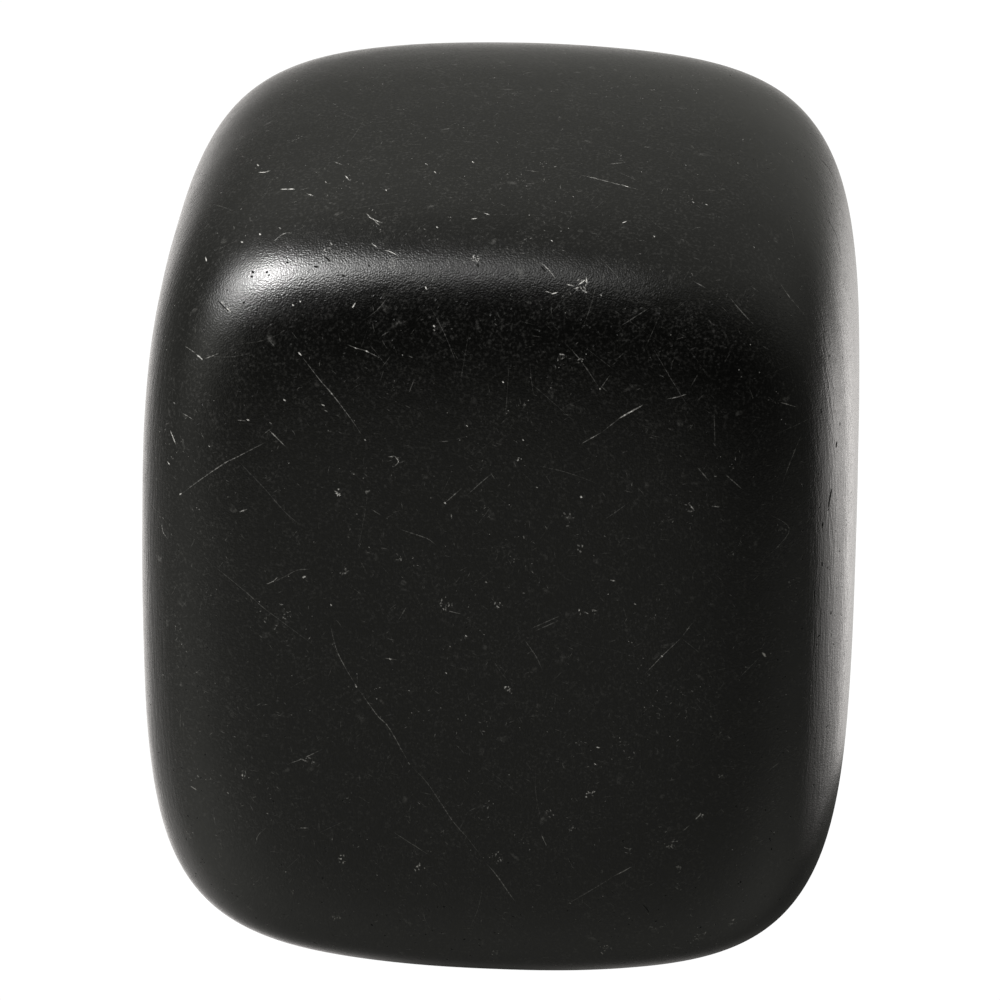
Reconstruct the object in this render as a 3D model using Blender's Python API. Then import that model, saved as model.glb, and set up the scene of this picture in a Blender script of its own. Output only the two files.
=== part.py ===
"""A tumbled shungite stone: one rounded block of matt black rock, about 30 mm tall.

The stone was sawn as a block and then worn in a tumbler, so it is one closed piece with
six shallow domes for sides and generous rounding over every edge and corner. It stands
on a small flat spot worn on its underside. +X is its right, +Y its back and +Z is up,
and the origin is on that flat spot's plane, under the middle of the stone's box.
"""

import math
from typing import NamedTuple

import bmesh
import bpy
import numpy as np

# Sizes in metres, measured from the stone's centre to the crown of each side.
HALF_WIDTH = 0.01225
HALF_DEPTH = 0.01245
HALF_HEIGHT = 0.0150

# How firmly the sides hold their own before they round into each other. A higher
# number gives tighter edges; 5.5 wears them to a radius of about 3.4 mm at their middles.
EDGE_FIRMNESS = 5.5

# How much of the lowest dome is worn away: 0.2 mm leaves a flat spot about 7 mm across.
REST_WEAR = 0.0002

# Rows of facets across each of the six sides, and how far they are crowded towards
# its edges, where the stone curves most: 0 spreads them by equal angles.
FACETS_PER_SIDE = 24
EDGE_CROWDING = 0.4


class Side(NamedTuple):
    """One worn side of the stone: a shallow dome."""

    facing: tuple      # the square way out, along an axis
    lean: tuple        # degrees that the side leans off square, towards +X, +Y and +Z
    distance: float    # from the stone's centre to the dome's crown
    dome_radius: float


SIDES = (
    Side(facing=(0, -1, 0), lean=(-2.0, 0.0, -1.1), distance=HALF_DEPTH, dome_radius=0.600),
    Side(facing=(0, 1, 0), lean=(0.7, 0.0, -1.3), distance=HALF_DEPTH, dome_radius=0.130),
    Side(facing=(-1, 0, 0), lean=(0.0, 0.6, 1.0), distance=HALF_WIDTH, dome_radius=2.000),
    Side(facing=(1, 0, 0), lean=(0.0, -1.0, -0.3), distance=HALF_WIDTH, dome_radius=2.000),
    Side(facing=(0, 0, -1), lean=(-0.4, 1.8, 0.0), distance=HALF_HEIGHT, dome_radius=0.052),
    Side(facing=(0, 0, 1), lean=(0.2, -4.2, 0.0), distance=HALF_HEIGHT, dome_radius=0.058),
)

# Matt black rock with a satin tumbled skin.
STONE_COLOR = (0.012, 0.012, 0.011, 1.0)
STONE_ROUGHNESS = 0.42


def dome_centre(side):
    """Centre of the sphere that a side is part of, from the stone's centre."""
    outward = np.array(side.facing, dtype=float) + np.tan(np.radians(side.lean))
    outward /= np.linalg.norm(outward)
    return outward * (side.distance - side.dome_radius)


def reach(directions):
    """Distance from the stone's centre to its surface along each unit direction.

    The way out to each side's sphere is found first. The surface then lies at the soft
    minimum of the six ways out, the power mean with the power -EDGE_FIRMNESS, so the
    nearest side rules in its middle and neighbours blend over the edge between them.
    """
    total = np.zeros(len(directions))
    for side in SIDES:
        centre = dome_centre(side)
        along = directions @ centre
        way_out = along + np.sqrt(along ** 2 - centre @ centre + side.dome_radius ** 2)
        total += way_out ** -EDGE_FIRMNESS
    return total ** (-1 / EDGE_FIRMNESS)


def stone_points(cube_points):
    """Moves points of a cube, two units wide, out to the stone's surface.

    The cube's rows are crowded towards its edges and then spread by angle, so that the
    facets are smallest where the stone is most rounded. Points below the worn spot are
    lifted onto it, and the whole is placed with the spot at a height of zero.
    """
    crowded = (1 - EDGE_CROWDING) * cube_points + EDGE_CROWDING * np.sin(cube_points * (math.pi / 2))
    spread = np.tan(crowded * (math.pi / 4))
    directions = spread / np.linalg.norm(spread, axis=1, keepdims=True)
    points = directions * reach(directions)[:, None]
    floor = points[:, 2].min() + REST_WEAR
    points[:, 2] = np.maximum(points[:, 2], floor)
    middle = (points.min(axis=0) + points.max(axis=0)) / 2
    return points - (middle[0], middle[1], floor)


def flatten_rest_spot(bm):
    """Joins the facets that lie on the worn spot into one flat face."""
    worn = [face for face in bm.faces if all(vert.co.z == 0.0 for vert in face.verts)]
    bmesh.ops.dissolve_faces(bm, faces=worn, use_verts=True)


def build_stone():
    """Models the stone as a cube cut into rows of facets and moved out to its surface."""
    bm = bmesh.new()
    bmesh.ops.create_cube(bm, size=2.0)
    bmesh.ops.subdivide_edges(bm, edges=bm.edges[:], cuts=FACETS_PER_SIDE - 1, use_grid_fill=True)
    cube_points = np.array([vert.co for vert in bm.verts])
    for vert, point in zip(bm.verts, stone_points(cube_points)):
        vert.co = point
    flatten_rest_spot(bm)
    bmesh.ops.triangulate(bm, faces=bm.faces[:])
    mesh = bpy.data.meshes.new("shungite_stone")
    bm.to_mesh(mesh)
    bm.free()
    mesh.shade_smooth()
    return bpy.data.objects.new("shungite_stone", mesh)


def stone_material():
    """Matt black rock."""
    material = bpy.data.materials.new("tumbled_shungite")
    material.use_nodes = True
    shader = material.node_tree.nodes["Principled BSDF"]
    shader.inputs["Base Color"].default_value = STONE_COLOR
    shader.inputs["Roughness"].default_value = STONE_ROUGHNESS
    shader.inputs["Metallic"].default_value = 0.0
    material.diffuse_color = STONE_COLOR
    return material


def main():
    """Clears the scene and builds the stone."""
    for old in list(bpy.data.objects):
        bpy.data.objects.remove(old)
    stone = build_stone()
    stone.data.materials.append(stone_material())
    bpy.context.collection.objects.link(stone)


main()
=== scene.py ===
"""The looks of a tumbled shungite stone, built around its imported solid.

The stone is a rounded block of black rock with a satin skin. Its surface is the same closed
form as the solid's, on a much finer grid. Every scratch, scuff and pit is laid on that
surface as a path, and each facet of the grid carries the place of the marks that cross it,
so that the material can draw them far finer than the facets. +X is the stone's right, +Y
its back and +Z up, and the origin is under the middle of its flat rest spot.
"""

import logging
import math
from dataclasses import dataclass, replace
from enum import Enum

import bpy
import numpy as np
from mathutils import Matrix, Vector


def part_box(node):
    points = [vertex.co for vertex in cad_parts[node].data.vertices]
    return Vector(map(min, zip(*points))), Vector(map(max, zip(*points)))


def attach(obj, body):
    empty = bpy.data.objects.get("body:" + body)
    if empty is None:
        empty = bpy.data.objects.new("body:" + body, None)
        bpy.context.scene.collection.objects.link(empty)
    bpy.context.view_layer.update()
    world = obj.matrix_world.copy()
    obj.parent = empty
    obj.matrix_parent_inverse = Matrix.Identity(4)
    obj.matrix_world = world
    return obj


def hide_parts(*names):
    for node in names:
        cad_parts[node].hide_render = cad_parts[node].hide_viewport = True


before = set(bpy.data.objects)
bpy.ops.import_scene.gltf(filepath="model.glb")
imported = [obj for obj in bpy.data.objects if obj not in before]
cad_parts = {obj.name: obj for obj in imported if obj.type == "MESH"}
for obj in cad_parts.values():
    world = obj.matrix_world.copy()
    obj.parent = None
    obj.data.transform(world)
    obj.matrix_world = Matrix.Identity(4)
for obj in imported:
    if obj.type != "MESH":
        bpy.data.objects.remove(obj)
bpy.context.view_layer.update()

LOG = logging.getLogger("stone")
MM = 0.001
STONE_NODE = "shungite_stone"
PHOTO_PIXELS = 1000

Point = tuple[float, float, float]
Pixel = tuple[float, float]
Span = tuple[float, float]
Socket = bpy.types.NodeSocket
Feed = Socket | float | Point


class Side(Enum):
    """The six sides of the block, each with its square way out."""

    FRONT = (0, -1, 0)
    BACK = (0, 1, 0)
    LEFT = (-1, 0, 0)
    RIGHT = (1, 0, 0)
    UNDER = (0, 0, -1)
    TOP = (0, 0, 1)


class Wear(Enum):
    """What a mark does to the skin, as the sign of the tone that its facets carry."""

    POWDERED = 1.0
    SUNKEN = -1.0


def unit(vectors: np.ndarray) -> np.ndarray:
    """Vectors brought to a length of one.

    Args:
        vectors: array whose last axis holds X, Y and Z.

    Returns:
        The same directions, each divided by its own length.
    """
    return vectors / np.linalg.norm(vectors, axis=-1, keepdims=True)


def towards(azimuth: float, elevation: float) -> Vector:
    """A direction from two angles.

    Args:
        azimuth: degrees round from the stone's back, 90 to its right and -90 to its left.
        elevation: degrees above the horizon.

    Returns:
        The unit vector (sin a cos e, cos a cos e, sin e).
    """
    a, e = math.radians(azimuth), math.radians(elevation)
    return Vector((math.sin(a) * math.cos(e), math.cos(a) * math.cos(e), math.sin(e)))


@dataclass(frozen=True)
class Dome:
    """One worn side of the stone: a shallow cap of a large sphere.

    Attributes:
        side: which side it is.
        lean: degrees that the side leans off square, towards +X, +Y and +Z.
        distance: from the stone's centre to the cap's crown, in metres.
        radius: of the sphere, in metres.
    """

    side: Side
    lean: Point
    distance: float
    radius: float

    @property
    def centre(self) -> np.ndarray:
        """Centre of the sphere, measured from the stone's centre."""
        outward = unit(np.array(self.side.value, float) + np.tan(np.radians(self.lean)))
        return outward * (self.distance - self.radius)


@dataclass
class StoneForm:
    """The closed form of the stone: six domes that round into each other.

    Attributes:
        half_width: from the centre to the crown of the left and right sides.
        half_depth: from the centre to the crown of the front and back.
        half_height: from the centre to the crown of the top and underside.
        edge_firmness: how firmly the sides hold before they round into each other.
        rest_wear: how much of the lowest dome is worn flat.
        swell_depth: how deep the slow swells of the skin go, inwards.
        swell_length: from one swell to the next, on the whole.
        swell_count: how many waves the swells are the sum of.
    """

    half_width: float = 12.25 * MM
    half_depth: float = 12.45 * MM
    half_height: float = 15.0 * MM
    edge_firmness: float = 5.5
    rest_wear: float = 0.2 * MM
    swell_depth: float = 0.012 * MM
    swell_length: float = 4.5 * MM
    swell_count: int = 14

    # The least and the most that a wave's number of swells is, as shares of the usual one.
    SWELL_SHARES = (0.6, 1.6)
    # How far a ray is followed either side of its nearest point, in half heights, which
    # takes in every corner, and how often its last step is halved.
    SEARCH = 1.6
    HALVINGS = 20

    @property
    def domes(self) -> tuple[Dome, ...]:
        """The six worn sides."""
        return (
            Dome(Side.FRONT, (-2.0, 0.0, -1.1), self.half_depth, 600 * MM),
            Dome(Side.BACK, (0.7, 0.0, -1.3), self.half_depth, 130 * MM),
            Dome(Side.LEFT, (0.0, 0.6, 1.0), self.half_width, 2000 * MM),
            Dome(Side.RIGHT, (0.0, -1.0, -0.3), self.half_width, 2000 * MM),
            Dome(Side.UNDER, (-0.4, 1.8, 0.0), self.half_height, 52 * MM),
            Dome(Side.TOP, (0.2, -4.2, 0.0), self.half_height, 58 * MM),
        )

    def ways_out(self, directions: np.ndarray) -> tuple[np.ndarray, np.ndarray]:
        """The way out to each dome's sphere along each direction, and how it changes.

        A ray from the centre along u leaves a sphere with centre c and radius R after
        t = u.c + sqrt((u.c)^2 - c.c + R^2), and the slope of t with u is c t / (t - u.c).

        Args:
            directions: unit vectors, one in each row.

        Returns:
            The ways out, one row for each dome, and their slopes with the direction.
        """
        centres = np.array([dome.centre for dome in self.domes])
        radii = np.array([dome.radius for dome in self.domes])
        along = centres @ directions.T
        root = np.sqrt(along ** 2 + (radii ** 2 - (centres ** 2).sum(axis=1))[:, None])
        ways = along + root
        return ways, centres[:, None, :] * (ways / root)[:, :, None]

    def reach(self, directions: np.ndarray) -> np.ndarray:
        """Distance from the centre to the surface: the soft minimum of the six ways out.

        The soft minimum is the power mean with the power -k, r = (sum of t^-k)^(-1/k),
        where k is the edge firmness.

        Args:
            directions: unit vectors, one in each row.

        Returns:
            One distance for each direction, in metres.
        """
        ways, _ = self.ways_out(directions)
        return (ways ** -self.edge_firmness).sum(axis=0) ** (-1 / self.edge_firmness)

    def on_surface(self, points: np.ndarray) -> np.ndarray:
        """Points moved straight out from, or in to, the centre until they lie on the surface."""
        directions = unit(points)
        return directions * self.reach(directions)[:, None]

    def outward(self, points: np.ndarray) -> np.ndarray:
        """Unit normals at points of the surface.

        The surface is where the sum of (|p| / t)^k is 1, so its normal is the gradient of
        that sum: the sum of (|p| / t)^k (u - s / t), with s the part of t's slope that
        lies across u.

        Args:
            points: places on the surface, one in each row.

        Returns:
            The normals, one in each row.
        """
        directions = unit(points)
        ways, slopes = self.ways_out(directions)
        weights = (self.reach(directions)[None, :] / ways) ** self.edge_firmness
        across = slopes - (slopes * directions).sum(axis=-1, keepdims=True) * directions
        return unit((weights[:, :, None] * (directions - across / ways[:, :, None])).sum(axis=0))

    def swells(self, points: np.ndarray, chance: np.random.Generator) -> np.ndarray:
        """How far the slow swells of the skin sink each point.

        The depth is d (1 + m) / 2, where m is the mean of sines of p.w + a over a few
        waves w of the swell length, each in its own direction and with its own start a,
        spread out to reach from about -1 to 1.

        Args:
            points: places on the surface.
            chance: where the waves' directions and starts come from.

        Returns:
            A depth for each point, from nothing to the swell depth.
        """
        waves = unit(chance.normal(size=(self.swell_count, 3))) * (2 * math.pi / self.swell_length)
        waves *= chance.uniform(*self.SWELL_SHARES, size=(self.swell_count, 1))
        starts = chance.uniform(0, 2 * math.pi, self.swell_count)
        mean = np.sin(points @ waves.T + starts).mean(axis=1) * math.sqrt(self.swell_count / 2)
        return self.swell_depth * (1 + np.clip(mean, -1, 1)) / 2

    def hit(self, origin: np.ndarray, rays: np.ndarray, step: float = 0.25 * MM) -> np.ndarray:
        """Where rays from one point first meet the stone.

        Each ray is walked in even steps to the first place inside the surface, which is
        where |p| is less than the reach along p, and the last step is halved again and again.

        Args:
            origin: where the rays start, outside the stone.
            rays: their unit directions, one in each row.
            step: length of one step.

        Returns:
            One point for each ray. A ray that passes the stone gives its nearest point.
        """
        closest = -(rays @ origin)
        far = self.SEARCH * self.half_height

        def height(along: np.ndarray) -> np.ndarray:
            places = origin + along[:, None] * rays
            return np.linalg.norm(places, axis=1) - self.reach(unit(places))

        near = closest - far
        best, best_height = near.copy(), height(near)
        entered = np.zeros(len(rays), bool)
        for _ in range(int(far / step) + 1):
            beyond = near + step
            above = height(beyond)
            found = ~entered & (above <= 0)
            near = np.where(entered | found, near, beyond)
            closer = ~entered & (above < best_height)
            best = np.where(closer, beyond, best)
            best_height = np.where(closer, above, best_height)
            entered |= found
        low, high = near, near + step
        for _ in range(self.HALVINGS):
            middle = (low + high) / 2
            inside = height(middle) <= 0
            low, high = np.where(inside, low, middle), np.where(inside, middle, high)
        along = np.where(entered, high, best)
        return self.on_surface(origin + along[:, None] * rays)


@dataclass
class SkinGrid:
    """The stone's surface as six square grids, one for each side, joined along their edges.

    A point of the grid has whole coordinates on a cube. They turn into a direction by
    x = tan(c pi / 4) on each axis, which spreads the rows by equal angles.

    Attributes:
        cells: rows of facets across each side.
        margin: share of each side's place on the flat layout that is left free round it.
    """

    cells: int = 127
    margin: float = 0.015

    # The grid's two ways across a side that faces along X, Y or Z, and whether they run
    # anticlockwise as seen from the positive end of that axis.
    WAYS = ((1, 2, True), (0, 2, False), (0, 1, True))

    def sides(self) -> list[tuple[int, int]]:
        """The axis that each of the six grids faces along, and which end of it."""
        return [(axis, end) for axis in range(3) for end in (1, -1)]

    def lay_out(self) -> tuple[np.ndarray, np.ndarray]:
        """Works out the grid's points and facets.

        Returns:
            Unit directions of the points, and four point numbers for each facet. Facets
            run side by side, then row by row, as cell_under counts them.
        """
        n = self.cells
        steps = np.arange(n + 1)
        i, j = np.meshgrid(steps, steps, indexing="ij")
        cube, quads = [], []
        numbers = np.arange((n + 1) ** 2).reshape(n + 1, n + 1)
        for count, (axis, end) in enumerate(self.sides()):
            first, second, anticlockwise = self.WAYS[axis]
            place = np.empty((n + 1, n + 1, 3), int)
            place[..., axis] = end * n
            place[..., first] = 2 * i - n
            place[..., second] = 2 * j - n
            cube.append(place.reshape(-1, 3))
            square = (numbers[:-1, :-1], numbers[1:, :-1], numbers[1:, 1:], numbers[:-1, 1:])
            corners = np.stack(square, -1)
            if anticlockwise != (end > 0):
                corners = corners[..., ::-1]
            quads.append(corners.reshape(-1, 4) + count * (n + 1) ** 2)
        places = np.concatenate(cube)
        base = 2 * n + 1
        keys = (places + n) @ np.array([base * base, base, 1])
        _, kept, joined = np.unique(keys, return_index=True, return_inverse=True)
        directions = unit(np.tan(places[kept] / n * (math.pi / 4)))
        return directions, joined[np.concatenate(quads)]

    def cell_under(self, points: np.ndarray) -> np.ndarray:
        """The number of the facet that each point lies over, as seen from the centre."""
        n = self.cells
        axis = np.abs(points).argmax(axis=1)
        rows = np.arange(len(points))
        main = points[rows, axis]
        first = np.array([way[0] for way in self.WAYS])[axis]
        second = np.array([way[1] for way in self.WAYS])[axis]
        across = np.stack([points[rows, first], points[rows, second]]) / np.abs(main)
        turned = (np.arctan(across) * (4 / math.pi) + 1) / 2
        i, j = np.clip((turned * n).astype(int), 0, n - 1)
        return (2 * axis + (main < 0)) * n * n + i * n + j

    def flat_layout(self) -> np.ndarray:
        """Places of every facet's four corners on a flat sheet, three sides by two."""
        n = self.cells
        steps = self.margin + (1 - 2 * self.margin) * np.arange(n + 1) / n
        i, j = np.meshgrid(np.arange(n), np.arange(n), indexing="ij")
        sheet = []
        for count, (axis, end) in enumerate(self.sides()):
            _, _, anticlockwise = self.WAYS[axis]
            u = np.stack([steps[i], steps[i + 1], steps[i + 1], steps[i]], -1)
            v = np.stack([steps[j], steps[j], steps[j + 1], steps[j + 1]], -1)
            place = np.stack([(u + count % 3) / 3, (v + count // 3) / 2], -1)
            if anticlockwise != (end > 0):
                place = place[:, :, ::-1]
            sheet.append(place.reshape(-1, 4, 2))
        return np.concatenate(sheet)


@dataclass
class PhotoCamera:
    """A long-lens camera that stands where the photograph was taken from.

    Attributes:
        azimuth: degrees round the stone, from square in front towards its right.
        elevation: degrees above the horizon.
        distance: from the target to the lens.
        target: the point that the middle of the picture looks at.
        lens: focal length in millimetres, for the sensor's width.
        sensor: width of the sensor in millimetres.
    """

    azimuth: float = 2.771
    elevation: float = 21.807
    distance: float = 195.175 * MM
    target: Point = (-0.2625 * MM, 0.0, 14.976 * MM)
    lens: float = 200.0
    sensor: float = 36.0

    # From where to where the camera sees, in metres.
    SIGHT = (0.01, 10.0)

    @property
    def back(self) -> Vector:
        """The way from the target to the lens."""
        return towards(180 - self.azimuth, self.elevation)

    @property
    def place(self) -> Vector:
        """Where the lens is."""
        return Vector(self.target) + self.distance * self.back

    @property
    def turn(self) -> Matrix:
        """The camera's turn, whose columns are its right, its up and its back."""
        return self.back.to_track_quat("Z", "Y").to_matrix()

    @property
    def focal(self) -> float:
        """The focal length in pixels of the photograph."""
        return PHOTO_PIXELS * self.lens / self.sensor

    def rays(self, pixels: np.ndarray) -> np.ndarray:
        """Directions from the lens through pixels of the photograph.

        Args:
            pixels: columns and rows in the photograph's frame, one pair in each row.

        Returns:
            Unit vectors, one in each row.
        """
        centred = (pixels - PHOTO_PIXELS / 2) / self.focal
        local = np.column_stack([centred[:, 0], -centred[:, 1], -np.ones(len(pixels))])
        return unit(local @ np.array(self.turn).T)

    def build(self) -> None:
        """Makes the camera and hands the scene over to it."""
        data = bpy.data.cameras.new("photo_camera")
        data.lens, data.sensor_width = self.lens, self.sensor
        data.clip_start, data.clip_end = self.SIGHT
        camera = bpy.data.objects.new("photo_camera", data)
        camera.matrix_world = Matrix.Translation(self.place) @ self.turn.to_4x4()
        bpy.context.scene.collection.objects.link(camera)
        bpy.context.scene.camera = camera


@dataclass(frozen=True)
class Mark:
    """One scratch, scuff or pit that can be told apart in the photograph.

    Attributes:
        name: where it is and what it looks like.
        path: the pixels that it runs through in the photograph's 1000 pixel frame.
        tone: how strongly it shows, from 0 to 1.
        width: how wide it is at its middle, in pixels.
        wear: whether it is powdered pale or sunken.
    """

    name: str
    path: tuple[Pixel, ...]
    tone: float
    width: float = 1.0
    wear: Wear = Wear.POWDERED

    # How far a dot runs across and down, in pixels.
    DOT = 2

    @classmethod
    def dot(cls, name: str, start: Pixel, tone: float, width: float, wear: Wear = Wear.POWDERED) -> "Mark":
        """A mark that is hardly longer than it is wide, from its upper left end."""
        return cls(name, (start, (start[0] + cls.DOT, start[1] + cls.DOT)), tone, width, wear)


@dataclass(frozen=True)
class Knot:
    """A small knot of crumbs that can be told apart in the photograph.

    Attributes:
        name: where it is.
        middle: its middle in the photograph's frame.
        size: how far from the middle its crumbs lie, in pixels.
        crumbs: how many it has.
        tone: how strongly the strongest one shows, from 0 to 1.
    """

    name: str
    middle: Pixel
    size: float
    crumbs: int
    tone: float

    # The smudge's tone and the crumbs' distance from the middle, as shares of the knot's
    # tone and size.
    SMUDGE_TONE = 0.12
    SPREAD = 0.4
    # The least and the most of a crumb: half its length and its width in pixels, and its
    # tone as a share of the knot's.
    HALF_LENGTHS = (0.5, 2.4)
    WIDTHS = (1.0, 1.8)
    TONES = (0.2, 1.0)

    def marks(self, chance: np.random.Generator) -> list[Mark]:
        """A soft smudge, and the crumbs as short marks that lie every way round the middle.

        Args:
            chance: where their places, lengths and tones come from.

        Returns:
            One mark for the smudge and one for each crumb.
        """
        along, up = self.middle
        smudge = ((along - self.size / 2, up), (along + self.size / 2, up))
        made = [Mark(f"{self.name}, smudge", smudge, self.tone * self.SMUDGE_TONE, self.size)]
        for number in range(self.crumbs):
            along, up = np.array(self.middle) + chance.normal(size=2) * self.size * self.SPREAD
            turn, half = chance.uniform(0, math.pi), chance.uniform(*self.HALF_LENGTHS)
            step, rise = half * math.cos(turn), half * math.sin(turn)
            path = ((along - step, up - rise), (along + step, up + rise))
            tone = self.tone * chance.uniform(*self.TONES)
            width = chance.uniform(*self.WIDTHS)
            made.append(Mark(f"{self.name}, crumb {number + 1}", path, tone, width))
        return made


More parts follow.
